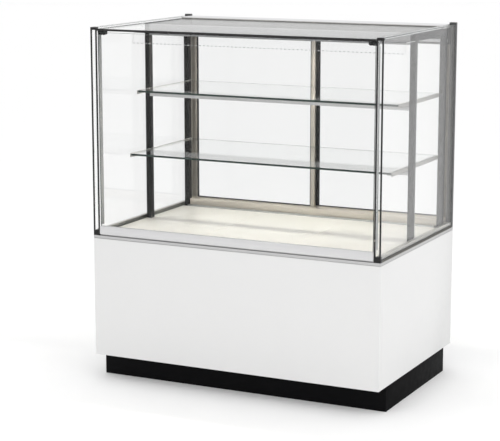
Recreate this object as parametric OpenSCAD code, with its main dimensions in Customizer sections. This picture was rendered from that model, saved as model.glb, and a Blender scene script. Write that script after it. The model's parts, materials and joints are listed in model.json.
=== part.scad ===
// Refrigerated display case with a glass upper part on a cabinet base.
// Millimetres. Origin on the floor at the centre of the footprint.
// +X to the right, -Y to the customer's side, +Z up.

/* [Overall size] */
// Width over the side panels
case_w = 1200; // [1000:10:1400]
// Depth from the front glass to the back
case_d = 774; // [760:2:820]
// Height of the rear columns above the floor
case_h = 1388; // [1385:1:1450]

/* [Base cabinet] */
// Height of the black plinth
plinth_h = 96; // [80:1:120]
// Setback of the plinth at the front
plinth_setback_front = 75; // [40:1:110]
// Setback of the plinth at the back
plinth_setback_rear = 80; // [40:1:110]
// Height of the top of the white panels above the floor
cabinet_top = 562; // [540:1:590]
// Thickness of the white panels
panel_t = 19; // [16:1:22]

/* [Glazing] */
// Thickness of one glass pane
pane_t = 6; // [5:1:8]
// Thickness of a double-glazed side unit
unit_t = 27; // [26:1:34]
// Height of the top of the side units above the floor
unit_top = 1381; // [1370:1:1384]
// Thickness of the top glass and of the shelves
shelf_t = 8; // [6:1:8]

/* [Shelves] */
// Height of the top of the upper shelf above the floor
upper_shelf_z = 1116; // [1000:1:1180]
// Height of the top of the lower shelf above the floor
lower_shelf_z = 871; // [760:1:960]
// Distance from the front glass to the front of the upper shelf
upper_shelf_setback = 267; // [200:1:340]
// Distance from the front glass to the front of the lower shelf
lower_shelf_setback = 206; // [150:1:300]

/* [Doors] */
// Thickness of a sliding door
door_t = 14; // [12:1:14]
// Width of an outer door stile
door_stile_w = 35; // [25:1:40]
// Width of a meeting stile
meeting_stile_w = 18; // [14:1:24]

/* [Hidden] */
$fn = 48;

// Main planes
half_w = case_w / 2;
front_y = -case_d / 2;
rear_y = case_d / 2;
frame_top = cabinet_top + 13;
gasket_top = frame_top + 10;
unit_x = half_w - unit_t;
cavity_x0 = unit_x + pane_t;
cavity_x1 = half_w - pane_t;
top_glass_z = unit_top - 13;
top_glass_top = top_glass_z + shelf_t;

// Side support frames
post_w = 20;
post_x1 = unit_x - 0.5;
post_x0 = post_x1 - post_w;
front_post_y = [front_y + 370, front_y + 396];
rear_post_y = [rear_y - 78, rear_y - 53];
arm_z = top_glass_z - 27;

// Rear frame
column_y = rear_y - 18;
rail_y = rear_y - 97;
track_y = rear_y - 42;
sill_y = rear_y - 74;
sill_top = frame_top + 39;
header_z = arm_z - 38;
inner_track_y = track_y + 3;
outer_track_y = inner_track_y + 20;
track_gap = 0.5;
door_z0 = frame_top + 23.5;
door_z1 = header_z + 22;
track_depth = 30;

// Front glass and its hinge
hinge_y = front_y + 6.5;
hinge_z = frame_top + 6.3;
hinge_bar_r = 5.8;
hinge_pin_r = 3;
running_gap = 0.05;
profile_z0 = frame_top + 6.5;
profile_z1 = frame_top + 37.7;
profile_d = 15;
front_half_w = unit_x - 1;
pane_y = front_y + 3;

// Deck
deck_z = frame_top + 10;
deck_y0 = front_y + 42;
deck_y1 = rail_y - 1;
deck_half_w = unit_x - 3;
sheet_t = 1.5;

// Base interior
inner_w = half_w - panel_t;
floor_z = plinth_h + 3;
well_z = cabinet_top - 132;
rear_plate_y = rear_y - 4;
fascia_z = cabinet_top - 77;

// Fan shafts and the bores that run on them
shaft_r = 3;
fan_bore = shaft_r + running_gap;

// A box between two opposite corners
module block(a, b) {
    translate(a)
        cube(b - a);
}

// A box and its mirror image on the other side of the case
module both_sides() {
    children();
    mirror([1, 0, 0])
        children();
}

// A rod along X from x0 to x1
module rod_x(x0, x1, y, z, r) {
    translate([x0, y, z])
        rotate([0, 90, 0])
            cylinder(h = x1 - x0, r = r);
}

// A rod along Y from y0 to y1
module rod_y(x, y0, y1, z, r) {
    translate([x, y0, z])
        rotate([-90, 0, 0])
            cylinder(h = y1 - y0, r = r);
}

// A box of width w and height h centred on (x, z) of the rear plate,
// from y0 to y1 measured from the plate's inner face
module on_plate(x, z, w, h, y0, y1) {
    block([x - w / 2, rear_plate_y + y0, z - h / 2], [x + w / 2, rear_plate_y + y1, z + h / 2]);
}

// ---------------------------------------------------------------- base

module plinth() {
    board = 18;
    y0 = front_y + plinth_setback_front;
    y1 = rear_y - plinth_setback_rear;
    color("#1c1c1c")
        difference() {
            block([-half_w, y0, 0], [half_w, y1, plinth_h]);
            block([-half_w + board, y0 + board, -1], [half_w - board, y1 - board, plinth_h + 1]);
        }
}

foot_x = half_w - 90;
foot_y = [front_y + plinth_setback_front + 70, rear_y - plinth_setback_rear - 70];
stud_r = 6;

module levelling_feet() {
    color("#303235")
        both_sides()
            for (y = foot_y)
                translate([foot_x, y, 0]) {
                    cylinder(h = 5, r = 25);
                    translate([0, 0, 5])
                        cylinder(h = 9, r1 = 22, r2 = 10);
                    translate([0, 0, 14])
                        cylinder(h = plinth_h + 6, r = stud_r);
                    translate([0, 0, plinth_h - 10])
                        cylinder(h = 10, r = 11, $fn = 6);
                }
}

module base_floor() {
    color("#b9bcbe")
        difference() {
            union() {
                block([-inner_w, front_y + panel_t, plinth_h], [inner_w, rear_plate_y, floor_z]);
                for (y = [front_y + panel_t, rear_plate_y - 2])
                    block([-inner_w, y, floor_z], [inner_w, y + 2, floor_z + 20]);
            }
            both_sides()
                for (y = foot_y)
                    translate([foot_x, y, plinth_h - 1])
                        cylinder(h = 6, r = stud_r + 0.3);
        }
}

module front_panel() {
    color("#f4f5f4")
        block([-half_w, front_y, plinth_h], [half_w, front_y + panel_t, cabinet_top]);
}

module side_panel() {
    color("#f4f5f4")
        block([inner_w, front_y + panel_t, plinth_h], [half_w, rear_y, cabinet_top]);
}

module left_side_panel() {
    mirror([1, 0, 0])
        side_panel();
}

module right_side_panel() {
    side_panel();
}

// ---------------------------------------------------------------- service side

louvre_w = 110;
louvre_pitch = 24;
louvre_rows = 12;
louvre_x = [-430, -300, -170, 110, 240, 370];
screw_z = [floor_z + 30, fascia_z - 22];
screw_x = [-inner_w + 22, 0, inner_w - 22];
inlet_x = 500;
inlet_z = plinth_h + 60;

module rear_grille() {
    z0 = floor_z + 1;
    z1 = fascia_z - 2;
    color("#c9ccce")
        difference() {
            union() {
                block([-inner_w + 1, rear_plate_y, z0], [inner_w - 1, rear_plate_y + 2, z1]);
                for (x = louvre_x, i = [0:louvre_rows - 1])
                    translate([x - louvre_w / 2 - 2, rear_plate_y + 1, z0 + 68 + i * louvre_pitch])
                        rotate([60, 0, 0])
                            cube([louvre_w + 4, 3, sheet_t]);
            }
            for (x = louvre_x, i = [0:louvre_rows - 1])
                block([x - louvre_w / 2, rear_plate_y - 1, z0 + 58 + i * louvre_pitch],
                    [x + louvre_w / 2, rear_plate_y + 3, z0 + 67 + i * louvre_pitch]);
            for (x = screw_x, z = screw_z)
                rod_y(x, rear_plate_y - 1, rear_plate_y + 3, z, 2.6);
            on_plate(inlet_x, inlet_z, 30, 26, -1, 3);
        }
}

module panel_screws() {
    color("#8b8e92")
        for (x = screw_x, z = screw_z) {
            rod_y(x, rear_plate_y - 2, rear_plate_y + 2, z, 2.3);
            difference() {
                rod_y(x, rear_plate_y + 2, rear_plate_y + 4, z, 4.5);
                block([x - 3.2, rear_plate_y + 3, z - 0.6], [x + 3.2, rear_plate_y + 5, z + 0.6]);
            }
        }
}

switch_x = [250, 310];
switch_z = fascia_z + 36;
rocker_w = 17;
rocker_h = 24;
rocker_y = rear_plate_y - 4;
rocker_tilt = 6;
controller_x = -60;
controller_w = 74;
controller_h = 34;
button_x = [controller_x + 14, controller_x + 27];
button_w = 9;
button_h = 6;
button_gap = 0.4;
button_z = switch_z - 8;

module rear_fascia() {
    z1 = cabinet_top - 1;
    color("#c9ccce")
        difference() {
            union() {
                block([-inner_w + 1, rear_plate_y, fascia_z], [inner_w - 1, rear_plate_y + 2, z1]);
                block([-inner_w + 1, rear_plate_y - 20, fascia_z],
                    [inner_w - 1, rear_plate_y, fascia_z + 2]);
            }
            for (x = switch_x)
                on_plate(x, switch_z, 24, 32, -1, 3);
            on_plate(controller_x, switch_z, 70, 30, -1, 3);
        }
}

module switch_housings() {
    color("#222326")
        for (x = switch_x)
            difference() {
                union() {
                    on_plate(x, switch_z, 24, 32, -22, 2);
                    on_plate(x, switch_z, 28, 36, 2, 3);
                }
                difference() {
                    on_plate(x, switch_z, rocker_w + 1, rocker_h + 2.4, -18, 5);
                    rod_x(x - rocker_w, x - rocker_w / 2 + 2, rocker_y, switch_z, 1.5);
                    rod_x(x + rocker_w / 2 - 2, x + rocker_w, rocker_y, switch_z, 1.5);
                }
            }
}

// Rocker cap with a shallow V face, bored for the pivot pins, at rest in its on position
module rocker(x) {
    difference() {
        translate([x + rocker_w / 2, rocker_y, switch_z])
            rotate([rocker_tilt, 0, 0])
                rotate([0, -90, 0])
                    linear_extrude(rocker_w)
                        polygon([[-rocker_h / 2, -2], [-5, -5], [5, -5], [rocker_h / 2, -2],
                            [rocker_h / 2, 6.5], [0, 4.5], [-rocker_h / 2, 6.5]]);
        rod_x(x - rocker_w, x - rocker_w / 2 + 2.5, rocker_y, switch_z, 1.5 + running_gap);
        rod_x(x + rocker_w / 2 - 2.5, x + rocker_w, rocker_y, switch_z, 1.5 + running_gap);
    }
}

module main_switch() {
    color("#2fa24a")
        rocker(switch_x[0]);
}

module light_switch() {
    color("#303338")
        rocker(switch_x[1]);
}

module temperature_controller() {
    color("#1d1e21")
        difference() {
            union() {
                on_plate(controller_x, switch_z, 69, 29, -52, 2);
                on_plate(controller_x, switch_z, controller_w, controller_h, 2, 3.4);
            }
            for (x = button_x)
                on_plate(x, button_z, button_w + 2 * button_gap, button_h + 2 * button_gap, -5, 5);
            on_plate(controller_x - 13, switch_z, 34, 20, 2.8, 5);
        }
}

module push_button(x) {
    color("#5b5f66")
        on_plate(x, button_z, button_w, button_h, -3, 3.9);
}

module up_button() {
    push_button(button_x[0]);
}

module down_button() {
    push_button(button_x[1]);
}

module power_inlet() {
    color("#161719")
        difference() {
            union() {
                on_plate(inlet_x, inlet_z, 28, 24, -26, 2);
                on_plate(inlet_x, inlet_z, 48, 28, 2, 3.5);
            }
            difference() {
                on_plate(inlet_x, inlet_z, 24, 17, -14, 5);
                for (x = [-7, 0, 7])
                    on_plate(inlet_x + x, inlet_z, 2, 4, -15, -3);
            }
        }
}

module electrical_box() {
    x0 = inner_w - 150;
    x1 = inner_w - 10;
    y0 = rear_plate_y - 180;
    y1 = rear_plate_y - 60;
    z1 = well_z - 20;
    z0 = z1 - 110;
    color("#9b9ea1") {
        block([x0, y0, z0], [x1, y1, z1]);
        block([x1, y0 + 10, z0 + 10], [inner_w, y1 - 10, z1 - 10]);
    }
}

// ---------------------------------------------------------------- refrigeration

well_x = inner_w - 26;
well_y0 = front_y + 27;
well_y1 = rear_y - 87;
well_wall = 35;
drain_x = -320;
drain_y = 150;

module insulated_well() {
    color("#d8dadb")
        difference() {
            block([-well_x, well_y0, well_z], [well_x, well_y1, cabinet_top]);
            block([-well_x + well_wall, well_y0 + well_wall, well_z + well_wall],
                [well_x - well_wall, well_y1 - well_wall, cabinet_top + 1]);
            translate([drain_x, drain_y, well_z - 1])
                cylinder(h = well_wall + 2, r = 14);
        }
}

// A finned coil block: tubes along X through upright fins
module coil(length, depth, height, fins, tube_r, rows, columns) {
    for (i = [0:fins - 1])
        translate([-length / 2 + i * length / (fins - 1) - 0.6, -depth / 2, 0])
            cube([1.2, depth, height]);
    for (j = [0:rows - 1], k = [0:columns - 1])
        rod_x(-length / 2 - 12, length / 2 + 12,
            -depth / 2 + (k + 0.5) * depth / columns, (j + 0.5) * height / rows, tube_r);
    both_sides()
        translate([length / 2 + 10, -depth / 2, 0])
            cube([2, depth, height]);
}

coil_gap = 5;
evaporator_y = well_y0 + 130;

module evaporator() {
    z0 = well_z + well_wall;
    color("#c79a6b")
        translate([0, evaporator_y, z0 + coil_gap])
            coil(800, 110, 80, 26, 5, 3, 4);
    color("#b7babc")
        both_sides()
            block([412, evaporator_y - 40, z0], [424, evaporator_y + 40, z0 + 60]);
}

evap_fan_x = 200;
evap_fan_z = well_z + well_wall + 48;
evap_fan_r = 38;
evap_plate_y = evaporator_y + 110;

// Motor, shaft and three arms that carry a fan on the back of a plate at y
module fan_motor(x, y, z, hole_r, motor_r, motor_l, shaft_l) {
    rod_y(x, y + 12, y + 12 + motor_l, z, motor_r);
    rod_y(x, y - shaft_l, y + 14, z, shaft_r);
    for (a = [90, 210, 330])
        translate([x, y, z])
            rotate([0, a, 0])
                linear_extrude(6, center = true)
                    polygon([[motor_r - 2, 14], [hole_r + 3, 14], [hole_r + 3, -1],
                        [hole_r + 6, -1], [hole_r + 6, 17], [motor_r - 2, 17]]);
}

// Fan rotor on a shaft along Y, from y to y + depth
module fan_rotor(x, y, z, r, hub_r, depth, blades, chord) {
    translate([x, y, z])
        rotate([-90, 0, 0])
            difference() {
                intersection() {
                    union() {
                        cylinder(h = depth, r = hub_r);
                        for (i = [0:blades - 1])
                            rotate([0, 0, i * 360 / blades])
                                translate([hub_r - 2, 0, depth / 2])
                                    rotate([32, 0, 0])
                                        translate([0, -chord / 2, -1])
                                            cube([r, chord, 2]);
                    }
                    cylinder(h = depth, r = r);
                }
                translate([0, 0, -1])
                    cylinder(h = depth + 2, r = fan_bore);
            }
}

module evaporator_fan_plate() {
    z0 = well_z + well_wall;
    plate_x = well_x - well_wall - 20;
    color("#b7babc") {
        difference() {
            block([-plate_x, evap_plate_y, z0], [plate_x, evap_plate_y + 2, cabinet_top - 3]);
            both_sides()
                rod_y(evap_fan_x, evap_plate_y - 1, evap_plate_y + 3, evap_fan_z, evap_fan_r + 2);
        }
        for (x = [-evap_fan_x, evap_fan_x])
            fan_motor(x, evap_plate_y + 2, evap_fan_z, evap_fan_r + 2, 16, 30, 24);
    }
}

module left_evaporator_fan() {
    color("#2c2e31")
        fan_rotor(-evap_fan_x, evap_plate_y - 18, evap_fan_z, evap_fan_r, 14, 26, 5, 26);
}

module right_evaporator_fan() {
    color("#2c2e31")
        fan_rotor(evap_fan_x, evap_plate_y - 18, evap_fan_z, evap_fan_r, 14, 26, 5, 26);
}

compressor_x = 240;
compressor_y = 60;

module compressor() {
    feet = 70;
    color("#1a1b1d")
        translate([compressor_x, compressor_y, floor_z]) {
            for (x = [-feet, feet], y = [-feet, feet])
                translate([x, y, 0])
                    cylinder(h = 14, r = 11);
            translate([-95, -95, 14])
                cube([190, 190, 4]);
            translate([0, 0, 18])
                rotate_extrude()
                    polygon(concat([[0, 0], [70, 0], [84, 14], [84, 96]],
                        [for (a = [0:10:80]) [84 * cos(a), 96 + 60 * sin(a)]], [[0, 156]]));
            rod_y(30, -110, -60, 90, 6);
            translate([84, -22, 50])
                cube([30, 44, 60]);
        }
}

condenser_y = rear_plate_y - 45;
condenser_z = floor_z + 10;
condenser_h = 230;
condenser_top = condenser_z + condenser_h;
shroud_half_w = 156;

module condenser() {
    color("#26282b")
        translate([compressor_x, condenser_y, condenser_z])
            coil(280, 44, condenser_h, 22, 5, 6, 2);
    color("#b7babc")
        for (x = [-1, 1])
            block([compressor_x + x * 146 - 8, condenser_y - 22, floor_z],
                [compressor_x + x * 146 + 8, condenser_y + 22, condenser_z]);
}

condenser_fan_y = condenser_y - 62;
condenser_fan_z = condenser_z + 115;
condenser_fan_r = 96;

module condenser_fan_shroud() {
    color("#8d9093") {
        difference() {
            block([compressor_x - shroud_half_w, condenser_fan_y - 2, floor_z],
                [compressor_x + shroud_half_w, condenser_fan_y, condenser_top]);
            rod_y(compressor_x, condenser_fan_y - 3, condenser_fan_y + 1, condenser_fan_z,
                condenser_fan_r + 3);
        }
        for (x = [-shroud_half_w, shroud_half_w - 2])
            block([compressor_x + x, condenser_fan_y, floor_z],
                [compressor_x + x + 2, condenser_y + 20, condenser_top]);
        mirror([0, 1, 0])
            fan_motor(compressor_x, -condenser_fan_y + 2, condenser_fan_z,
                condenser_fan_r + 3, 24, 40, 28);
    }
}

module condenser_fan() {
    color("#2c2e31")
        fan_rotor(compressor_x, condenser_fan_y - 8, condenser_fan_z, condenser_fan_r, 26, 32, 6, 50);
}

module condensate_tray() {
    a = [-500, 60, floor_z];
    b = [-150, 340, floor_z + 42];
    color("#8c8f92")
        difference() {
            block(a, b);
            block(a + [2, 2, 2], [b[0] - 2, b[1] - 2, b[2] + 1]);
        }
}

module drain_pipe() {
    color("#e2e2e0")
        translate([drain_x, drain_y, floor_z + 20])
            difference() {
                cylinder(h = well_z + well_wall - floor_z - 20, r = 14);
                translate([0, 0, -1])
                    cylinder(h = well_z + well_wall - floor_z - 18, r = 11);
            }
}

// ---------------------------------------------------------------- deck

frame_side_w = 60;
frame_front_w = 45;
frame_rear_w = 90;

module deck_frame() {
    groove = 1;
    color("#b4b7ba")
        difference() {
            block([-half_w, front_y, cabinet_top], [half_w, rear_y, frame_top]);
            block([-half_w + frame_side_w, front_y + frame_front_w, cabinet_top - 1],
                [half_w - frame_side_w, rear_y - frame_rear_w, frame_top + 1]);
            difference() {
                block([-half_w - 1, front_y - 1, cabinet_top + 2],
                    [half_w + 1, rear_y + 1, cabinet_top + 3.5]);
                block([-half_w + groove, front_y + groove, cabinet_top + 1],
                    [half_w - groove, rear_y - groove, cabinet_top + 4]);
            }
        }
}

pan_seam = 190;
post_notch = 3;

// One pan with turned-down edges, from x0 to x1
module deck_pan(x0, x1) {
    difference() {
        block([x0, deck_y0, frame_top], [x1, deck_y1, deck_z]);
        block([x0 + sheet_t, deck_y0 + sheet_t, frame_top - 1],
            [x1 - sheet_t, deck_y1 - sheet_t, deck_z - sheet_t]);
        both_sides()
            block([post_x0 - post_notch, front_post_y[0] - post_notch, frame_top - 1],
                [half_w, front_post_y[1] + post_notch, deck_z + 1]);
    }
}

module deck_pans() {
    color("#e9e4da") {
        deck_pan(-deck_half_w, -pan_seam);
        deck_pan(-pan_seam + 1, pan_seam - 1);
        deck_pan(pan_seam, deck_half_w);
    }
}

slot_w = 24;
slot_pitch = 32;
grille_half_w = post_x0 - 3;
slots = floor(2 * grille_half_w / slot_pitch) - 1;

// A slotted strip across the case between y0 and y1
module air_grille(y0, y1, z1) {
    difference() {
        block([-grille_half_w, y0, frame_top], [grille_half_w, y1, z1]);
        block([-grille_half_w + 2, y0 + 2, frame_top - 1], [grille_half_w - 2, y1 - 2, z1 - sheet_t]);
        for (i = [0:slots - 1])
            translate([(i - (slots - 1) / 2) * slot_pitch - slot_w / 2, (y0 + y1) / 2 - 3, frame_top])
                cube([slot_w, 6, z1]);
    }
}

module air_grilles() {
    color("#b9c0c4") {
        air_grille(front_y + 16, deck_y0 - 1, frame_top + 12);
        air_grille(deck_y1 + 1, sill_y - 0.5, frame_top + 14);
    }
}

// ---------------------------------------------------------------- side glazing

corner_d = 20;
guard_d = 3;
spacer_h = 6;
sill_spacer_h = 12;
rear_spacer_w = 9;
rear_seal_d = 12;
strip_d = 7;
plug_h = 10;

// Rubber under each side unit and up the back of its cavity
module side_glass_gaskets() {
    color("#2b2825")
        both_sides() {
            block([unit_x, front_y + corner_d, frame_top], [half_w, column_y, gasket_top]);
            block([cavity_x0 + rear_spacer_w, column_y - rear_seal_d, gasket_top + sill_spacer_h],
                [cavity_x1, column_y, unit_top - spacer_h]);
        }
}

module side_panes() {
    color("#dfeeee", 0.3)
        both_sides()
            for (x = [unit_x, cavity_x1])
                block([x, front_y + guard_d, gasket_top], [x + pane_t, column_y, unit_top]);
}

module spacer_bars() {
    color("#cfd2d3")
        both_sides() {
            block([cavity_x0, front_y + corner_d, gasket_top],
                [cavity_x1, column_y, gasket_top + sill_spacer_h]);
            block([cavity_x0, column_y - rear_seal_d, gasket_top + sill_spacer_h],
                [cavity_x0 + rear_spacer_w, column_y, unit_top - spacer_h]);
        }
}

// Clear spacers up the front and along the top of each side unit
module clear_edge_strips() {
    color("#eef6f6", 0.3)
        both_sides() {
            block([cavity_x0, front_y + guard_d, gasket_top + plug_h],
                [cavity_x1, front_y + guard_d + strip_d, unit_top - plug_h]);
            block([cavity_x0, front_y + corner_d, unit_top - spacer_h], [cavity_x1, column_y, unit_top]);
        }
}

module edge_guards() {
    color("#151617")
        both_sides()
            for (x = [unit_x, cavity_x1])
                block([x, front_y, gasket_top], [x + pane_t, front_y + guard_d, unit_top]);
}

module corner_blocks() {
    color("#151617")
        both_sides() {
            difference() {
                block([unit_x, front_y, frame_top], [half_w, front_y + corner_d, gasket_top]);
                rod_x(unit_x - 1, half_w - 8, hinge_y, hinge_z, hinge_pin_r);
            }
            for (z = [gasket_top, unit_top - plug_h])
                block([cavity_x0, front_y, z], [cavity_x1, front_y + corner_d, z + plug_h]);
        }
}

module hinge_pins() {
    color("#a9adb1")
        both_sides()
            rod_x(front_half_w - 12, half_w - 8, hinge_y, hinge_z, hinge_pin_r);
}

// ---------------------------------------------------------------- front glass

catch_w = 11;
catch_r = 8;
catch_x0 = unit_x - 34;
catch_split = unit_x - 19;
catch_z = top_glass_z - 16;
catch_d = 12;
pane_top = top_glass_z - 6;
top_half_w = unit_x - 2;

module front_pane() {
    color("#dfeeee", 0.3)
        block([-front_half_w + 3, pane_y, profile_z0 + 14],
            [front_half_w - 3, pane_y + pane_t, pane_top]);
}

module front_profile() {
    color("#d4d6d7")
        difference() {
            block([-front_half_w, front_y, profile_z0], [front_half_w, front_y + profile_d, profile_z1]);
            rod_x(-half_w, half_w, hinge_y, hinge_z, hinge_bar_r);
            block([-half_w, pane_y, profile_z0 + 14], [half_w, pane_y + pane_t, profile_z1 + 1]);
        }
}

module front_hinge_bar() {
    color("#242527")
        difference() {
            rod_x(-front_half_w, front_half_w, hinge_y, hinge_z, hinge_bar_r);
            both_sides()
                rod_x(front_half_w - 12.5, half_w, hinge_y, hinge_z, hinge_pin_r + running_gap);
        }
}

// Catch on the back of the front glass, with one round lower corner
module front_catches() {
    y = pane_y + pane_t;
    h = top_glass_z - 2 - catch_z;
    color("#101112")
        both_sides()
            translate([catch_x0, y + catch_d, catch_z])
                rotate([90, 0, 0])
                    linear_extrude(catch_d)
                        intersection() {
                            square([catch_w, h]);
                            union() {
                                translate([catch_r, catch_r])
                                    circle(r = catch_r);
                                translate([0, catch_r])
                                    square(h);
                                translate([catch_r, 0])
                                    square(h);
                            }
                        }
}

// Strip along the front edge of the top glass, and the two corner clamps
// that join it to the side units and carry the keeper plates of the catches
module top_front_trim() {
    y0 = pane_y + pane_t + 0.4;
    plate_y = pane_y + pane_t + catch_d + 0.6;
    color("#101112") {
        block([-top_half_w, front_y, top_glass_z], [top_half_w, front_y + guard_d, top_glass_top]);
        both_sides() {
            block([catch_split, y0, catch_z], [unit_x, plate_y + 4, top_glass_z]);
            block([catch_x0, plate_y, catch_z + 2], [catch_split, plate_y + 4, top_glass_z]);
        }
    }
}

module corner_gaskets() {
    color("#b5b8ba")
        both_sides()
            block([front_half_w - 3, pane_y + pane_t + 0.5, profile_z1 + 4],
                [unit_x, front_y + 32, catch_z - 2]);
}

// ---------------------------------------------------------------- top

module top_glass() {
    color("#dfeeee", 0.3)
        block([-top_half_w, front_y + guard_d, top_glass_z], [top_half_w, rail_y - 1, top_glass_top]);
}

// ---------------------------------------------------------------- support frames

foot_t = 3;

// Inverted U of square tube on each side, with a foot plate under each post
module support_frames() {
    color("#3a3b3d")
        both_sides() {
            for (y = [front_post_y, rear_post_y]) {
                block([post_x0, y[0], frame_top + foot_t], [post_x1, y[1], arm_z]);
                block([post_x0 - 2, y[0] - 2, frame_top], [unit_x, y[1] + 1, frame_top + foot_t]);
            }
            block([post_x0, front_post_y[0], arm_z], [post_x1, rear_post_y[1], top_glass_z]);
        }
}

// ---------------------------------------------------------------- light and visor

housing_z = arm_z - 13;
led_y = [front_post_y[0] + 6, front_post_y[0] + 20];
led_half_w = post_x0 - 30;
led_recess = 5;

// Hollow bar between the two front posts, with the light strip in its underside
module light_housing() {
    wall = 3;
    z1 = top_glass_z - 4;
    color("#8f9295")
        difference() {
            block([-post_x0, front_post_y[0], housing_z], [post_x0, front_post_y[1], z1]);
            block([-led_half_w, led_y[0], housing_z - 1],
                [led_half_w, led_y[1], housing_z + led_recess]);
            block([-post_x0 - 1, front_post_y[0] + wall, housing_z + led_recess + wall],
                [post_x0 + 1, front_post_y[1] - wall, z1 - wall]);
        }
}

module led_strip() {
    color("#fff3dc")
        block([-led_half_w + 1, led_y[0] + 0.5, housing_z + 0.5],
            [led_half_w - 1, led_y[1] - 0.5, housing_z + led_recess]);
}

visor_foot_y = front_y + 266;
visor_top_y = front_y + 283;
visor_drop = 43;
visor_t = 3;

// Clear leaning blade across the case, with a leg back to the front posts
module visor() {
    z1 = housing_z + 16;
    half = unit_x - 1.5;
    color("#e8f0f2", 0.3)
        translate([-half, 0, 0])
            rotate([90, 0, 90])
                linear_extrude(2 * half)
                    polygon([[visor_foot_y, z1 - visor_drop], [visor_top_y, z1],
                        [front_post_y[0], z1], [front_post_y[0], z1 - visor_t],
                        [visor_top_y + visor_t, z1 - visor_t],
                        [visor_foot_y + visor_t, z1 - visor_drop]]);
}

// ---------------------------------------------------------------- shelves

bracket_h = 15;
bracket_t = 3;
ledge_w = 20;
bracket_end = rear_y - 57;
crossbar_h = 18;
crossbar_d = 20;
shelf_half_w = post_x0 - bracket_t - 2;
shelf_rear = rear_y - 72;
shelf_levels = [[upper_shelf_z, upper_shelf_setback], [lower_shelf_z, lower_shelf_setback]];

// Angle bracket along one side of a shelf, screwed to the inside of both posts
module shelf_bracket(z, setback) {
    y0 = front_y + setback;
    block([post_x0 - bracket_t, y0, z - bracket_h], [post_x0, bracket_end, z]);
    block([post_x0 - ledge_w, y0, z - shelf_t - bracket_t],
        [post_x0 - bracket_t, shelf_rear, z - shelf_t]);
    translate([post_x0 - bracket_t, bracket_end, z - bracket_h])
        rotate([90, 0, 90])
            linear_extrude(bracket_t)
                polygon([[0, 0], [12, 0], [12, 6], [0, 11]]);
}

module shelf_brackets() {
    color("#d3d4d3")
        both_sides()
            for (s = shelf_levels)
                shelf_bracket(s[0], s[1]);
}

module shelf_crossbars() {
    color("#9c9f9f")
        for (s = shelf_levels)
            block([-post_x0, front_post_y[0], s[0] - bracket_h - crossbar_h],
                [post_x0, front_post_y[0] + crossbar_d, s[0] - bracket_h]);
}

module shelf_glasses() {
    color("#cfe3df", 0.3)
        for (s = shelf_levels)
            block([-shelf_half_w, front_y + s[1] + 0.5, s[0] - shelf_t],
                [shelf_half_w, shelf_rear, s[0]]);
}

// ---------------------------------------------------------------- rear frame

// Flat column that closes the back edge of each side unit
module rear_columns() {
    color("#4a4b4d")
        both_sides()
            block([unit_x, column_y, frame_top], [half_w, rear_y, case_h]);
}

module rear_top_rail() {
    color("#e4e5e5")
        block([-unit_x + 0.5, rail_y, top_glass_z], [unit_x - 0.5, rear_y, unit_top]);
}

module rear_header() {
    color("#b9b6b0")
        difference() {
            block([-unit_x + 0.5, track_y, header_z], [unit_x - 0.5, rear_y, top_glass_z]);
            for (y = [inner_track_y, outer_track_y])
                block([-unit_x + 3, y - track_gap, header_z - 1],
                    [unit_x - 3, y + door_t + track_gap, header_z + track_depth]);
        }
}

module rear_sill() {
    color("#c9c0b2")
        difference() {
            union() {
                block([-grille_half_w, sill_y, frame_top], [grille_half_w, track_y, sill_top]);
                block([-unit_x + 0.5, track_y, frame_top], [unit_x - 0.5, rear_y, sill_top]);
            }
            for (y = [inner_track_y, outer_track_y])
                block([-unit_x + 3, y - track_gap, door_z0 - track_gap],
                    [unit_x - 3, y + door_t + track_gap, sill_top + 1]);
        }
}

// ---------------------------------------------------------------- doors

door_half_w = unit_x - 5;
door_rail_h = 18;
glass_inset = 5;
pull_h = 160;
pull_w = 16;
pull_depth = 8;
door_glass_t = 4;
left_door_x1 = meeting_stile_w - 6;
pane_z = [door_z0 + door_rail_h - glass_inset, door_z1 - door_rail_h + glass_inset];
right_door_x0 = 0;

// Door frame from x0 to x1 with stiles of width a (left) and b (right)
// and a finger pull cut into the service face of one stile
module door_frame(x0, x1, y, a, b, pull_x) {
    z = [door_z0, door_z1];
    difference() {
        block([x0, y, z[0]], [x1, y + door_t, z[1]]);
        block([x0 + a, y - 1, z[0] + door_rail_h], [x1 - b, y + door_t + 1, z[1] - door_rail_h]);
        block([x0 + a - glass_inset, y + (door_t - door_glass_t) / 2, pane_z[0]],
            [x1 - b + glass_inset, y + (door_t + door_glass_t) / 2, pane_z[1]]);
        block([pull_x - pull_w / 2, y + door_t - pull_depth, (z[0] + z[1] - pull_h) / 2],
            [pull_x + pull_w / 2, y + door_t + 1, (z[0] + z[1] + pull_h) / 2]);
    }
}

module door_glass(x0, x1, y, a, b) {
    color("#e3efef", 0.3)
        block([x0 + a - glass_inset, y + (door_t - door_glass_t) / 2, pane_z[0]],
            [x1 - b + glass_inset, y + (door_t + door_glass_t) / 2, pane_z[1]]);
}

module left_door_frame() {
    color("#b3aca1")
        door_frame(-door_half_w, left_door_x1, inner_track_y, door_stile_w, meeting_stile_w,
            -door_half_w + pull_w / 2 + 4);
}

module left_door_glass() {
    door_glass(-door_half_w, left_door_x1, inner_track_y, door_stile_w, meeting_stile_w);
}

module right_door_frame() {
    color("#b3aca1")
        door_frame(right_door_x0, door_half_w, outer_track_y, meeting_stile_w, door_stile_w,
            door_half_w - pull_w / 2 - 4);
}

module right_door_glass() {
    door_glass(right_door_x0, door_half_w, outer_track_y, meeting_stile_w, door_stile_w);
}

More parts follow.
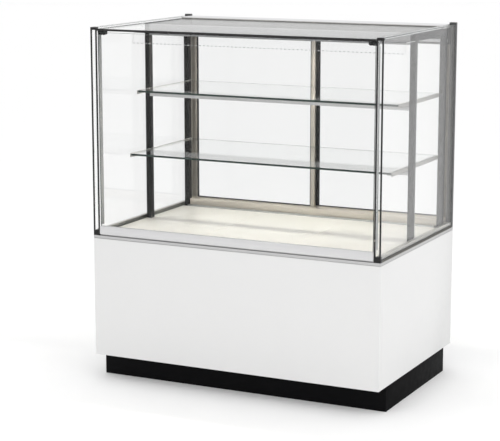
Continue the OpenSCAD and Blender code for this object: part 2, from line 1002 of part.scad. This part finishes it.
plinth();
levelling_feet();
base_floor();
front_panel();
left_side_panel();
right_side_panel();
rear_grille();
panel_screws();
rear_fascia();
switch_housings();
main_switch();
light_switch();
temperature_controller();
up_button();
down_button();
power_inlet();
electrical_box();
insulated_well();
evaporator();
evaporator_fan_plate();
left_evaporator_fan();
right_evaporator_fan();
compressor();
condenser();
condenser_fan_shroud();
condenser_fan();
condensate_tray();
drain_pipe();
deck_frame();
deck_pans();
air_grilles();
side_glass_gaskets();
side_panes();
spacer_bars();
clear_edge_strips();
edge_guards();
corner_blocks();
hinge_pins();
front_pane();
front_profile();
front_hinge_bar();
front_catches();
top_front_trim();
corner_gaskets();
top_glass();
support_frames();
light_housing();
led_strip();
visor();
shelf_brackets();
shelf_crossbars();
shelf_glasses();
rear_columns();
rear_top_rail();
rear_header();
rear_sill();
left_door_frame();
left_door_glass();
right_door_frame();
right_door_glass();
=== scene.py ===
"""Looks for the refrigerated display case: finishes, softened edges, small fittings, light and camera."""
import json
import math

import bmesh
import bpy
from mathutils import Matrix, Vector


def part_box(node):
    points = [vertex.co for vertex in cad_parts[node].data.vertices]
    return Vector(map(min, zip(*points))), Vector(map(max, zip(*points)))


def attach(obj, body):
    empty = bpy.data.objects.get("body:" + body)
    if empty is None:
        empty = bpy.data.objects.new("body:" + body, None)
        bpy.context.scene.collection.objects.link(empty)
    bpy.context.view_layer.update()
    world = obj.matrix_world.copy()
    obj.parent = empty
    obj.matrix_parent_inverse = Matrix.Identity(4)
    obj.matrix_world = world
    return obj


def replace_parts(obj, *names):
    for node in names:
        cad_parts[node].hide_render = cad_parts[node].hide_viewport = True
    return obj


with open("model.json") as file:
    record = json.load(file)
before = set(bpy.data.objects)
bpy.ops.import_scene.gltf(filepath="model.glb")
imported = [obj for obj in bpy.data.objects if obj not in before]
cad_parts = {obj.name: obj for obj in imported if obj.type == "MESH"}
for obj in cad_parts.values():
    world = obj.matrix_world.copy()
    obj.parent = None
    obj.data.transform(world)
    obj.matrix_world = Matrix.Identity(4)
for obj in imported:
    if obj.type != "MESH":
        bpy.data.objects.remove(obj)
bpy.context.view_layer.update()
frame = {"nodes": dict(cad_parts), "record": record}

SLOT_OF = {p["node"]: p["material_slot"] for p in frame["record"]["subparts"]}
BODY_OF = {n: body for body, nodes in frame["record"]["behaviour"]["bodies"].items() for n in nodes}
OPENINGS = {o["name"]: o["box_m"] for o in frame["record"]["physics"]["openings"]}
MM = 0.001
SIDE_UNIT = 27 * MM  # thickness of a double-glazed side unit
PANE_GAP = 0.0001  # how far a pane is drawn in, so that it shares no face with its seal
ARRIS = 0.0007  # width of the ground edge of a pane
FACE_ON = 0.9  # part of a face's normal along an axis, above which the face looks along it


# ---------------------------------------------------------------- shader building

class Shader:
    """A node-based material around one Principled shader. Textures run in row-frame metres."""

    def __init__(self, name):
        self.material = bpy.data.materials.new(name)
        self.material.use_nodes = True
        self.tree = self.material.node_tree
        self.tree.nodes.clear()
        self.output = self.tree.nodes.new("ShaderNodeOutputMaterial")
        self.bsdf = self.tree.nodes.new("ShaderNodeBsdfPrincipled")
        self.link(self.bsdf.outputs[0], self.output.inputs["Surface"])
        self.place = self.tree.nodes.new("ShaderNodeTexCoord").outputs["Object"]

    def link(self, source, target):
        self.tree.links.new(source, target)

    def set(self, **sockets):
        """Fixed values, each on the shader's own socket, such as Metallic or IOR."""
        for name, value in sockets.items():
            self.bsdf.inputs[name.replace("_", " ")].default_value = value

    def scaled(self, scale):
        node = self.tree.nodes.new("ShaderNodeMapping")
        node.inputs["Scale"].default_value = scale
        self.link(self.place, node.inputs["Vector"])
        return node.outputs[0]

    def noise(self, scale, detail=3.0, stretch=(1, 1, 1)):
        node = self.tree.nodes.new("ShaderNodeTexNoise")
        node.inputs["Scale"].default_value = scale
        node.inputs["Detail"].default_value = detail
        self.link(self.scaled(stretch), node.inputs["Vector"])
        return node.outputs["Fac"]

    def cells(self, scale):
        node = self.tree.nodes.new("ShaderNodeTexVoronoi")
        node.inputs["Scale"].default_value = scale
        self.link(self.place, node.inputs["Vector"])
        return node.outputs["Color"]

    def spread(self, source, low, high, start=0.3, stop=0.7):
        """source, from start to stop, mapped to the range from low to high."""
        node = self.tree.nodes.new("ShaderNodeMapRange")
        for name, value in (("From Min", start), ("From Max", stop), ("To Min", low), ("To Max", high)):
            node.inputs[name].default_value = value
        self.link(source, node.inputs["Value"])
        return node.outputs[0]

    def blend(self, factor, first, second):
        """A colour between two colours, or colour sockets, by a factor socket."""
        node = self.tree.nodes.new("ShaderNodeMix")
        node.data_type = "RGBA"
        self.link(factor, node.inputs[0])
        for socket, value in ((node.inputs[6], first), (node.inputs[7], second)):
            if isinstance(value, bpy.types.NodeSocket):
                self.link(value, socket)
            else:
                socket.default_value = (*value, 1)
        return node.outputs[2]

    def bump(self, height, depth, strength=1.0):
        node = self.tree.nodes.new("ShaderNodeBump")
        node.inputs["Strength"].default_value = strength
        node.inputs["Distance"].default_value = depth
        self.link(height, node.inputs["Height"])
        self.link(node.outputs[0], self.bsdf.inputs["Normal"])

    def colour(self, socket):
        self.link(socket, self.bsdf.inputs["Base Color"])

    def rough(self, socket):
        self.link(socket, self.bsdf.inputs["Roughness"])


def shade(colour, factor):
    return tuple(min(1.0, c * factor) for c in colour)


def coated(name, colour, rough=0.4, specular=0.5, mottle=0.03, grain=900, depth=0.00002):
    """Board laminate, powder coat, enamel or moulded plastic: a fine skin over a nearly even colour."""
    s = Shader(name)
    s.set(Specular_IOR_Level=specular)
    s.colour(s.blend(s.noise(7, 4), shade(colour, 1 - mottle), shade(colour, 1 + mottle)))
    s.rough(s.spread(s.noise(35, 4), rough - 0.05, rough + 0.05))
    s.bump(s.noise(grain, 2), depth)
    return s.material


def brushed(name, colour, rough, along, metallic=1.0, streak=0.06, depth=0.00002):
    """Brushed or extruded metal, with its lines along one axis."""
    s = Shader(name)
    s.set(Metallic=metallic)
    stretch = [0.03 if axis == along else 1.0 for axis in "XYZ"]
    lines = s.noise(420, 3, stretch)
    bands = s.noise(45, 3, stretch)
    s.colour(s.blend(bands, shade(colour, 1 - streak), shade(colour, 1 + streak)))
    s.rough(s.spread(lines, rough - 0.06, rough + 0.06))
    s.bump(lines, depth)
    return s.material


def zinc(name, colour):
    """Galvanised sheet with its spangle."""
    s = Shader(name)
    s.set(Metallic=1.0)
    spangle = s.cells(90)
    s.colour(s.blend(spangle, shade(colour, 0.86), shade(colour, 1.08)))
    s.rough(s.spread(spangle, 0.34, 0.5, 0.0, 1.0))
    s.bump(s.noise(260, 3), 0.00003)
    return s.material


def clear(name, tint, ior=1.5, rough=0.0):
    """Clear sheet that refracts, and lets light from lamps through to what is behind it."""
    s = Shader(name)
    s.set(Transmission_Weight=1.0, IOR=ior, Roughness=rough)
    s.colour(s.blend(s.noise(3, 2), shade(tint, 0.99), shade(tint, 1.01)))
    path = s.tree.nodes.new("ShaderNodeLightPath")
    through = s.tree.nodes.new("ShaderNodeBsdfTransparent")
    through.inputs["Color"].default_value = (*shade(tint, 0.98), 1)
    mix = s.tree.nodes.new("ShaderNodeMixShader")
    s.link(path.outputs["Is Shadow Ray"], mix.inputs[0])
    s.link(s.bsdf.outputs[0], mix.inputs[1])
    s.link(through.outputs[0], mix.inputs[2])
    s.link(mix.outputs[0], s.output.inputs["Surface"])
    return s.material


def glass_edge(name, dark, light):
    """The ground edge of a pane, where the glass shows its own green."""
    s = Shader(name)
    s.set(Specular_IOR_Level=0.15)
    s.colour(s.blend(s.noise(60, 3), dark, light))
    s.rough(s.spread(s.noise(300, 2), 0.3, 0.45))
    return s.material


def lit(name, colour, strength):
    """The diffusing lens of the lamp."""
    s = Shader(name)
    s.set(Emission_Strength=strength, Roughness=0.3)
    s.colour(s.blend(s.noise(80, 2), shade(colour, 0.96), colour))
    glow = s.blend(s.noise(14, 2), shade(colour, 0.9), colour)
    s.link(glow, s.bsdf.inputs["Emission Color"])
    return s.material


def perforated(name, colour, pitch, hole):
    """Spacer bar with its row of small breather holes, repeated every pitch metres along the bar."""
    s = Shader(name)
    s.set(Metallic=0.6)
    split = s.tree.nodes.new("ShaderNodeSeparateXYZ")
    s.link(s.place, split.inputs[0])
    total = s.tree.nodes.new("ShaderNodeMath")
    s.link(split.outputs["Y"], total.inputs[0])
    s.link(split.outputs["Z"], total.inputs[1])
    wrap = s.tree.nodes.new("ShaderNodeMath")
    wrap.operation = "PINGPONG"
    wrap.inputs[1].default_value = pitch / 2
    s.link(total.outputs[0], wrap.inputs[0])
    holes = s.spread(wrap.outputs[0], 0.0, 1.0, hole, hole * 1.4)
    s.colour(s.blend(holes, shade(colour, 0.45), colour))
    s.rough(s.spread(s.noise(200, 2), 0.38, 0.5))
    return s.material


BLACK = (0.004, 0.004, 0.0045)
# Lower than the 1.5 of bare glass, so that the panes mirror only weakly
GLASS_IOR = 1.18
FINISH = {
    "plinth_black": coated("black_laminate", (0.006, 0.006, 0.0065), rough=0.6, specular=0.03, mottle=0.1),
    "zinc_steel": zinc("zinc_plate", (0.55, 0.56, 0.57)),
    "white_laminate": coated("white_laminate", (0.77, 0.77, 0.768),
                             rough=0.34, specular=0.45, mottle=0.008, grain=700, depth=0.000015),
    "rear_sheet": coated("grey_powder_coat", (0.3, 0.31, 0.32),
                         rough=0.5, specular=0.4, mottle=0.04, grain=1400, depth=0.00006),
    "black_plastic": coated("black_moulding", BLACK,
                            rough=0.4, specular=0.35, mottle=0.12, grain=1600, depth=0.00004),
    "switch_green": coated("green_rocker", (0.02, 0.32, 0.07), rough=0.25, specular=0.5, mottle=0.04),
    "switch_black": coated("black_rocker", (0.012, 0.012, 0.013), rough=0.25, specular=0.5, mottle=0.06),
    "button_grey": coated("grey_key", (0.3, 0.31, 0.32), rough=0.45, specular=0.4, mottle=0.04),
    "box_grey": coated("grey_box", (0.42, 0.43, 0.43),
                       rough=0.5, specular=0.4, mottle=0.03, grain=1200, depth=0.00005),
    "liner_white": coated("white_liner", (0.72, 0.73, 0.72),
                          rough=0.45, specular=0.4, mottle=0.03, grain=300, depth=0.00005),
    "coil_aluminium": brushed("coil_fins", (0.7, 0.71, 0.72), rough=0.4, along="Z"),
    "fan_black": coated("fan_plastic", (0.012, 0.012, 0.013), rough=0.5, specular=0.4, mottle=0.1),
    "machine_black": coated("black_enamel", (0.01, 0.01, 0.011), rough=0.35, specular=0.5, mottle=0.1),
    "pipe_grey": coated("pipe_plastic", (0.5, 0.51, 0.52), rough=0.4, specular=0.4, mottle=0.04),
    "satin_aluminium": brushed("satin_aluminium", (0.54, 0.54, 0.542), rough=0.36, along="X"),
    "cream_coat": coated("cream_coat", (0.92, 0.895, 0.85),
                         rough=0.4, specular=0.4, mottle=0.015, grain=900, depth=0.00003),
    "stainless": brushed("stainless", (0.6, 0.61, 0.61), rough=0.34, along="X"),
    "sill_aluminium": brushed("champagne_aluminium", (0.66, 0.61, 0.54),
                              rough=0.4, along="X", metallic=0.5),
    "seal_black": coated("dark_rubber", (0.12, 0.115, 0.105), rough=0.7, specular=0.25, mottle=0.1),
    "seal_grey": coated("grey_rubber", (0.36, 0.37, 0.37), rough=0.55, specular=0.3, mottle=0.1),
    "clear_glass": clear("clear_glass", (0.94, 0.942, 0.941), ior=GLASS_IOR),
    "shelf_glass": clear("shelf_glass", (0.95, 0.962, 0.957), ior=1.4),
    "spacer_aluminium": perforated("spacer_bar", (0.62, 0.61, 0.58), pitch=0.004, hole=0.0006),
    "clear_plastic": clear("clear_plastic", (0.98, 0.982, 0.984), ior=1.12),
    "black_trim": coated("black_trim", BLACK, rough=0.3, specular=0.4, mottle=0.12),
    "pin_steel": brushed("pin_steel", (0.6, 0.6, 0.6), rough=0.25, along="X"),
    "profile_aluminium": brushed("light_aluminium", (0.67, 0.67, 0.675),
                                 rough=0.38, along="X", metallic=0.8),
    "frame_grey": coated("anthracite_tube", (0.016, 0.016, 0.0165),
                         rough=0.5, specular=0.2, mottle=0.06, grain=1500, depth=0.00004),
    "housing_grey": brushed("light_housing", (0.37, 0.37, 0.375), rough=0.4, along="X", metallic=0.6),
    "led_lens": lit("lamp_lens", (1.0, 0.94, 0.85), strength=110.0),
    "bracket_grey": coated("bracket_coat", (0.5, 0.49, 0.47), rough=0.42, specular=0.4, mottle=0.04),
    "column_grey": coated("anthracite_column", (0.07, 0.07, 0.072),
                          rough=0.4, specular=0.45, mottle=0.06, grain=1500, depth=0.00004),
    "header_aluminium": brushed("header_aluminium", (0.2, 0.2, 0.195), rough=0.45, along="X", metallic=0.3),
    "rail_aluminium": brushed("rail_aluminium", (0.74, 0.74, 0.75), rough=0.36, along="X", metallic=0.8),
    "door_aluminium": brushed("door_aluminium", (0.5, 0.47, 0.42), rough=0.4, along="Z", metallic=0.8),
}
# Panes with a tint or index of their own. The roof has the lowest index of the panes,
# because from a low angle even a small step in index mirrors strongly.
OWN_GLASS = {
    "side_panes": clear("side_glass", (0.996, 0.997, 0.996), ior=GLASS_IOR),
    "top_glass": clear("roof_glass", (0.96, 0.965, 0.962), ior=1.04),
    "clear_edge_strips": clear("edge_strip", (0.97, 0.975, 0.975), ior=1.06),
}
# Darker copy of the spacer bar finish: painted shade for the upright spacer bars, which stand in shade
PAINTED_SHADE_SPACER = perforated("rear_spacer", (0.24, 0.24, 0.23), pitch=0.004, hole=0.0006)
UPRIGHT_SEAL = coated("upright_seal", (0.025, 0.025, 0.024), rough=0.7, specular=0.2, mottle=0.1)
VISOR_EDGE = glass_edge("visor_edge", (0.7, 0.705, 0.71), (0.78, 0.785, 0.79))
PANE_EDGE = glass_edge("pane_edge", (0.05, 0.06, 0.057), (0.1, 0.12, 0.115))
SHELF_EDGE = glass_edge("shelf_edge", (0.02, 0.035, 0.03), (0.06, 0.085, 0.075))


# ---------------------------------------------------------------- mesh building

def to_object(bm, name, material, body):
    """A finished bmesh as a piece that rides on a body."""
    bmesh.ops.recalc_face_normals(bm, faces=bm.faces)
    mesh = bpy.data.meshes.new(name)
    bm.to_mesh(mesh)
    bm.free()
    mesh.materials.append(material)
    piece = bpy.data.objects.new(name, mesh)
    bpy.context.scene.collection.objects.link(piece)
    smooth_by_angle(mesh)
    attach(piece, body)
    return piece


def smooth_by_angle(mesh, limit=math.radians(38)):
    """Smooth shading that breaks where faces meet at more than the limit."""
    bm = bmesh.new()
    bm.from_mesh(mesh)
    for face in bm.faces:
        face.smooth = True
    for edge in bm.edges:
        edge.smooth = len(edge.link_faces) == 2 and edge.calc_face_angle(0) < limit
    bm.to_mesh(mesh)
    bm.free()


def round_edges(bm, width, segments=2, limit=math.radians(40)):
    """Rounds the edges sharper than the limit, less where a wall is too thin for it."""
    sharp = [e for e in bm.edges if len(e.link_faces) == 2 and e.calc_face_angle(0) > limit]
    if sharp and width:
        bmesh.ops.bevel(bm, geom=sharp, offset=width, offset_type="OFFSET", segments=segments,
                        profile=0.5, affect="EDGES", clamp_overlap=True)


def node_mesh(node):
    """The CAD node's mesh with shared corners and flat faces."""
    bm = bmesh.new()
    bm.from_mesh(frame["nodes"][node].data)
    bmesh.ops.remove_doubles(bm, verts=bm.verts, dist=1e-6)
    bmesh.ops.dissolve_limit(bm, angle_limit=math.radians(0.5), verts=bm.verts, edges=bm.edges)
    return bm


def inset(bm, distance):
    """Draws every face in by a distance, so that a pane doesn't share a face with its seal."""
    bm.normal_update()
    moves = [(v, v.normal * (distance * v.calc_shell_factor())) for v in bm.verts]
    for vert, move in moves:
        vert.co -= move


def softened(node, width, material=None):
    """The CAD node with its edges rounded by width metres."""
    bm = node_mesh(node)
    round_edges(bm, width)
    slot = SLOT_OF[node]
    piece = to_object(bm, node + "_body", material or FINISH[slot], BODY_OF[node])
    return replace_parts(piece, node)


def paned(node, thin_axis, edge_material):
    """The CAD node's panes with ground edges. thin_axis is the axis across the glass."""
    bm = node_mesh(node)
    inset(bm, PANE_GAP)
    round_edges(bm, ARRIS, 1)
    slot = SLOT_OF[node]
    material = OWN_GLASS.get(node, FINISH[slot])
    piece = to_object(bm, node + "_sheet", material, BODY_OF[node])
    piece.data.materials.append(edge_material)
    for face in piece.data.polygons:
        face.material_index = 0 if abs(face.normal[thin_axis]) > FACE_ON else 1
    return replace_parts(piece, node)


def add_box(bm, low, high):
    """A box between two corners, added to a bmesh."""
    low, high = Vector(low), Vector(high)
    centre = Matrix.Translation((low + high) / 2)
    size = Matrix.Diagonal((*(high - low), 1))
    bmesh.ops.create_cube(bm, size=1.0, matrix=centre @ size)


def boxes(name, pairs, width, slot, body="case"):
    """One piece made of rounded boxes."""
    bm = bmesh.new()
    for low, high in pairs:
        add_box(bm, low, high)
    round_edges(bm, width)
    return to_object(bm, name, FINISH[slot], body)


def mirrored(low, high):
    """The same box on both sides of the case."""
    return [(low, high), ((-high[0], low[1], low[2]), (-low[0], high[1], high[2]))]


# ---------------------------------------------------------------- carried-over nodes

ROUNDING = {
    "white_laminate": 0.0008, "plinth_black": 0.001, "profile_aluminium": 0.0015,
    "rail_aluminium": 0.001, "column_grey": 0.0012, "door_aluminium": 0.0008,
    "black_plastic": 0.0008, "black_trim": 0.0005, "frame_grey": 0.0015,
    "housing_grey": 0.0008, "bracket_grey": 0.0005, "stainless": 0.0005,
    "cream_coat": 0.0008, "sill_aluminium": 0.0006, "header_aluminium": 0.0006,
    "satin_aluminium": 0.0005, "seal_black": 0.0006, "seal_grey": 0.001,
    "pipe_grey": 0.0005, "box_grey": 0.0015, "liner_white": 0.002,
    "switch_green": 0.0005, "switch_black": 0.0005, "button_grey": 0.0005,
}
PANES = {"side_panes": 0, "front_pane": 1, "top_glass": 2, "left_door_glass": 1,
         "right_door_glass": 1, "shelf_glasses": 2}
OWN_SHAPE = ("side_glass_gaskets", "spacer_bars", "visor")


def dress_nodes():
    for node, cad in frame["nodes"].items():
        slot = SLOT_OF[node]
        if node in PANES:
            paned(node, PANES[node], SHELF_EDGE if slot == "shelf_glass" else PANE_EDGE)
        elif slot in ROUNDING and node not in OWN_SHAPE:
            softened(node, ROUNDING[slot])
        elif node not in OWN_SHAPE:
            cad.data.materials.clear()
            cad.data.materials.append(OWN_GLASS.get(node, FINISH[slot]))


# ---------------------------------------------------------------- fittings

def turned(bm, profile, place, axis, steps=24):
    """A turned solid added to a bmesh: profile holds (radius, height) pairs from the axis out and back."""
    to_axis = Vector((0, 0, 1)).rotation_difference(Vector(axis)).to_matrix()
    rings = []
    for radius, height in profile:
        count = steps if radius else 1
        ring = []
        for i in range(count):
            turn = 2 * math.pi * i / steps
            local = Vector((radius * math.cos(turn), radius * math.sin(turn), height))
            ring.append(bm.verts.new(Vector(place) + to_axis @ local))
        rings.append(ring)
    for lower, upper in zip(rings, rings[1:]):
        for i in range(steps):
            corners = [lower[i % len(lower)], lower[(i + 1) % len(lower)],
                       upper[(i + 1) % len(upper)], upper[i % len(upper)]]
            bm.faces.new(list(dict.fromkeys(corners)))


def pan_heads(name, places, axis, radius, slot, body="case"):
    """Domed screw heads with a driver socket, one at each place, facing along axis."""
    dome = [(0, 0), (radius, 0), (radius, radius * 0.2), (radius * 0.86, radius * 0.42),
            (radius * 0.55, radius * 0.56), (radius * 0.42, radius * 0.56),
            (radius * 0.36, radius * 0.25), (0, radius * 0.25)]
    bm = bmesh.new()
    for place in places:
        turned(bm, dome, place, axis)
    return to_object(bm, name, FINISH[slot], body)


def ribbed_gaskets():
    """Side gaskets with a groove between two lips on each face, and their upright strips."""
    low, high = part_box("side_glass_gaskets")
    base_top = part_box("side_panes")[0].z
    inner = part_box("rear_columns")[1].x - SIDE_UNIT
    outer = high.x
    groove, lip = 0.9 * MM, 3.6 * MM
    heights = [low.z, low.z + lip, low.z + lip + groove,
               base_top - lip - groove, base_top - lip, base_top]
    ribs = list(zip([0, 0, groove, groove, 0, 0], heights))
    outline = [(outer - d, z) for d, z in ribs] + [(inner + d, z) for d, z in reversed(ribs)]
    bm = bmesh.new()
    for side in (-1, 1):
        ends = [[bm.verts.new((side * x, y, z)) for x, z in outline] for y in (low.y, high.y)]
        for end in ends:
            bm.faces.new(end)
        for i in range(len(outline)):
            j = (i + 1) % len(outline)
            bm.faces.new((ends[0][i], ends[0][j], ends[1][j], ends[1][i]))
    slot = SLOT_OF["side_glass_gaskets"]
    piece = to_object(bm, "ribbed_gaskets", FINISH[slot], "case")
    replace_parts(piece, "side_glass_gaskets")
    strip_w, strip_d, strip_foot = 6 * MM, 12 * MM, 12 * MM
    strip_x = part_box("spacer_bars")[1].x
    seals = mirrored((strip_x - strip_w, high.y - strip_d, base_top + strip_foot), (strip_x, high.y, high.z))
    piece = boxes("upright_seals", seals, width=0.0004, slot=slot)
    piece.data.materials[0] = UPRIGHT_SEAL
    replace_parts(piece, "side_glass_gaskets")


def spacers_with_painted_shade():
    """The spacer bars, with painted shade on the upright ones: they get a darker copy of the spacer finish
    than the bright ones on the sill.
    """
    bm = node_mesh("spacer_bars")
    slot = SLOT_OF["spacer_bars"]
    piece = to_object(bm, "spacer_profiles", FINISH[slot], "case")
    piece.data.materials.append(PAINTED_SHADE_SPACER)
    sill_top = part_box("side_panes")[0].z + 12.5 * MM
    # Faces above the sill get the darker copy: painted shade
    for face in piece.data.polygons:
        face.material_index = 1 if face.center.z > sill_top else 0
    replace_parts(piece, "spacer_bars")


def roof_seal():
    """Grey strip in the gap between the top glass and the rear top rail, put there as painted shade for the
    shadow in that gap.
    """
    glass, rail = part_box("top_glass"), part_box("rear_top_rail")
    inset_x, strip_d, strip_h = 1 * MM, 5 * MM, 3 * MM
    reach = glass[1].x - inset_x
    low = (-reach, rail[0].y - strip_d, glass[1].z)
    high = (reach, rail[0].y, glass[1].z + strip_h)
    boxes("roof_seal", [(low, high)], width=0.0008, slot="bracket_grey")


def door_fittings(side):
    """Glazing bead on both faces of one door's glass, and the lined cup of its finger pull."""
    door, body = side + "_door_frame", side + "_door"
    low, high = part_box(door)
    glass_low, glass_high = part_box(side + "_door_glass")
    bite, bead, shy = 5 * MM, 3 * MM, 0.6 * MM
    x0, x1 = glass_low.x + bite, glass_high.x - bite
    z0, z1 = glass_low.z + bite, glass_high.z - bite
    pairs = []
    for y0, y1 in ((low.y + shy, glass_low.y), (glass_high.y, high.y - shy)):
        pairs += [((x0, y0, z0), (x0 + bead, y1, z1)), ((x1 - bead, y0, z0), (x1, y1, z1)),
                  ((x0 + bead, y0, z0), (x1 - bead, y1, z0 + bead)),
                  ((x0 + bead, y0, z1 - bead), (x1 - bead, y1, z1))]
    boxes(side + "_glazing_bead", pairs, width=0.0004, slot="black_plastic", body=body)
    pull_low, pull_high = OPENINGS[side + "_door_pull"]
    lining, rim = 1 * MM, 2 * MM
    cup_half, cup_depth, proud = 80 * MM, 8 * MM, 0.5 * MM
    middle = low.z + (high.z - low.z) / 2
    x0, x1 = pull_low[0] - lining, pull_high[0] + lining
    z0, z1 = middle - cup_half, middle + cup_half
    y0, y1 = high.y - cup_depth, high.y + proud
    walls = [((x0, y0, z0), (x0 + lining, y1, z1)), ((x1 - lining, y0, z0), (x1, y1, z1)),
             ((x0 + lining, y0, z0), (x1 - lining, y0 + lining, z1)),
             ((x0 + lining, y0 + lining, z0), (x1 - lining, y1, z0 + lining)),
             ((x0 + lining, y0 + lining, z1 - lining), (x1 - lining, y1, z1)),
             ((x0 - rim, high.y, z0 - rim), (x0, y1, z1 + rim)),
             ((x1, high.y, z0 - rim), (x1 + rim, y1, z1 + rim)),
             ((x0, high.y, z0 - rim), (x1, y1, z0)), ((x0, high.y, z1), (x1, y1, z1 + rim))]
    boxes(side + "_pull_cup", walls, width=0.0002, slot="black_plastic", body=body)


def meeting_seal():
    """Dark flap down the left door's meeting stile that closes the gap to the right door."""
    low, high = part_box("left_door_frame")
    reach, lap, thick = 13 * MM, 3 * MM, 2 * MM
    foot_gap, head_gap = 20 * MM, 24 * MM
    z0, z1 = low.z + foot_gap, high.z - head_gap
    flap = ((high.x - lap, high.y, z0), (high.x + reach, high.y + thick, z1))
    root = ((high.x - lap, high.y + thick, z0), (high.x, high.y + 2 * thick, z1))
    boxes("meeting_seal", [flap, root], width=0.0004, slot="black_plastic", body="left_door")


def header_profile():
    """The raised band and the dark lower seal along the front of the rear header."""
    low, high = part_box("rear_header")
    reach = high.x - 1 * MM
    band_foot, band_top, band_proud = 9 * MM, 21 * MM, 2 * MM
    band = ((-reach, low.y - band_proud, low.z + band_foot), (reach, low.y, low.z + band_top))
    boxes("header_band", [band], width=0.0006, slot="rail_aluminium")
    seal_h, seal_proud = 3.5 * MM, 1.2 * MM
    seal = ((-reach, low.y - seal_proud, low.z), (reach, low.y, low.z + seal_h))
    boxes("header_seal", [seal], width=0.0004, slot="housing_grey")


def visor_sheet():
    """The clear visor, with frosted cut edges at its foot and its two ends."""
    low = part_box("visor")[0]
    bm = node_mesh("visor")
    inset(bm, PANE_GAP)
    piece = to_object(bm, "visor_sheet", FINISH["clear_plastic"], "case")
    piece.data.materials.append(VISOR_EDGE)
    for face in piece.data.polygons:
        cut = abs(face.normal.x) > FACE_ON or face.center.z < low.z + 1 * MM
        face.material_index = 1 if cut else 0
    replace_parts(piece, "visor")


def visor_marks():
    """Row of short grey marks along the visor's lower edge."""
    low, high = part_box("visor")
    lean = 17 / 43  # run over rise of the visor's blade
    pitch, length, tall, thick = 17.3 * MM, 8.5 * MM, 2.4 * MM, 0.3 * MM
    foot = low.z + 0.8 * MM
    count = int((high.x - low.x) / pitch)
    bm = bmesh.new()
    for i in range(count):
        x = (i - (count - 1) / 2) * pitch - length / 2
        add_box(bm, (x, low.y - thick, foot), (x + length, low.y, foot + tall))
    for vert in bm.verts:
        vert.co.y += (vert.co.z - low.z) * lean
    round_edges(bm, 0.0001, 1)
    to_object(bm, "visor_marks", FINISH["pipe_grey"], "case")


def bracket_screws():
    """Screws that hold each shelf bracket to the two posts behind it."""
    bracket_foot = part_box("shelf_brackets")[0].z
    shelf_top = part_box("shelf_glasses")[1].z
    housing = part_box("light_housing")
    half_post, head_r = 13 * MM, 3.4 * MM
    inner = housing[1].x - 3 * MM
    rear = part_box("support_frames")[1].y - half_post
    front = housing[0].y + half_post
    levels = (shelf_top - 11.5 * MM, bracket_foot + 2 * MM)
    for side in (-1, 1):
        places = [(side * inner, y, z) for y in (front, rear) for z in levels]
        name = ("left" if side < 0 else "right") + "_bracket_screws"
        pan_heads(name, places, (-side, 0, 0), head_r, "pin_steel")


def display_window():
    """Tinted window of the temperature controller, with two small lamps."""
    low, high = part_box("temperature_controller")
    off_centre, half_x, half_z = 13 * MM, 16.5 * MM, 9.5 * MM
    x, z = (low.x + high.x) / 2 - off_centre, (low.z + high.z) / 2
    y0, y1 = high.y - 0.6 * MM, high.y - 0.1 * MM
    window = ((x - half_x, y0, z - half_z), (x + half_x, y1, z + half_z))
    boxes("display_window", [window], width=0.0002, slot="switch_black")
    lamp_x, lamp_r, lamp_sunk, lamp_gap = x - 11 * MM, 1.2 * MM, 0.2 * MM, 5 * MM
    places = [(lamp_x, y1 - lamp_sunk, z + dz) for dz in (-lamp_gap, lamp_gap)]
    pan_heads("display_lamps", places, (0, 1, 0), lamp_r, "switch_green")


def lens_caps():
    """End caps of the light strip."""
    low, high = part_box("led_strip")
    cap_t, drop = 1 * MM, 0.3 * MM
    caps = mirrored((high.x, low.y, low.z - drop), (high.x + cap_t, high.y, high.z))
    boxes("lens_caps", caps, width=0.0002, slot="housing_grey")


def add_fittings():
    ribbed_gaskets()
    spacers_with_painted_shade()
    roof_seal()
    for side in ("left", "right"):
        door_fittings(side)
    meeting_seal()
    header_profile()
    visor_sheet()
    visor_marks()
    bracket_screws()
    display_window()
    lens_caps()


# ---------------------------------------------------------------- stage, light and camera

def build_floor():
    s = Shader("studio_floor")
    s.set(Emission_Strength=0.04)
    pale = s.blend(s.noise(0.6, 3), (0.95, 0.95, 0.95), (0.97, 0.97, 0.97))
    s.colour(pale)
    s.link(pale, s.bsdf.inputs["Emission Color"])
    s.rough(s.spread(s.noise(3, 3), 0.75, 0.85))
    bm = bmesh.new()
    bmesh.ops.create_grid(bm, x_segments=1, y_segments=1, size=60)
    mesh = bpy.data.meshes.new("studio_floor")
    bm.to_mesh(mesh)
    bm.free()
    mesh.materials.append(s.material)
    floor = bpy.data.objects.new("studio_floor", mesh)
    bpy.context.scene.collection.objects.link(floor)


def area_light(name, place, target, size, power, colour=(1, 1, 1)):
    light = bpy.data.lights.new(name, "AREA")
    light.shape = "RECTANGLE"
    light.size, light.size_y = size
    light.energy = power
    light.color = colour
    lamp = bpy.data.objects.new(name, light)
    lamp.location = place
    direction = Vector(target) - Vector(place)
    lamp.rotation_euler = direction.to_track_quat("-Z", "Y").to_euler()
    bpy.context.scene.collection.objects.link(lamp)


def build_lights():
    world = bpy.data.worlds.new("studio")
    world.use_nodes = True
    background = world.node_tree.nodes["Background"]
    background.inputs["Color"].default_value = (1, 1, 1, 1)
    background.inputs["Strength"].default_value = 1.0
    bpy.context.scene.world = world
    centre = (0, 0, 0.8)
    area_light("key_right", (4.5, -1.5, 3.0), centre, (3, 2.5), 22)
    area_light("fill_front", (-1.5, -5.0, 2.6), centre, (3, 2), 4)
    area_light("top_soft", (0, 0.5, 4.2), centre, (3, 3), 8)


def build_camera():
    """A long lens from the customer's right, a little above the case."""
    camera = bpy.data.cameras.new("camera")
    camera.sensor_width = 36
    camera.lens = 119.8
    down, turn = math.radians(10.74), math.radians(26.24)
    view = bpy.data.objects.new("camera", camera)
    view.location = (2.758, -5.823, 1.838)
    view.rotation_euler = (math.radians(90) - down, 0, turn)
    bpy.context.scene.collection.objects.link(view)
    bpy.context.scene.camera = view


dress_nodes()
add_fittings()
build_floor()
build_lights()
build_camera()
bpy.context.scene.view_settings.view_transform = "Standard"
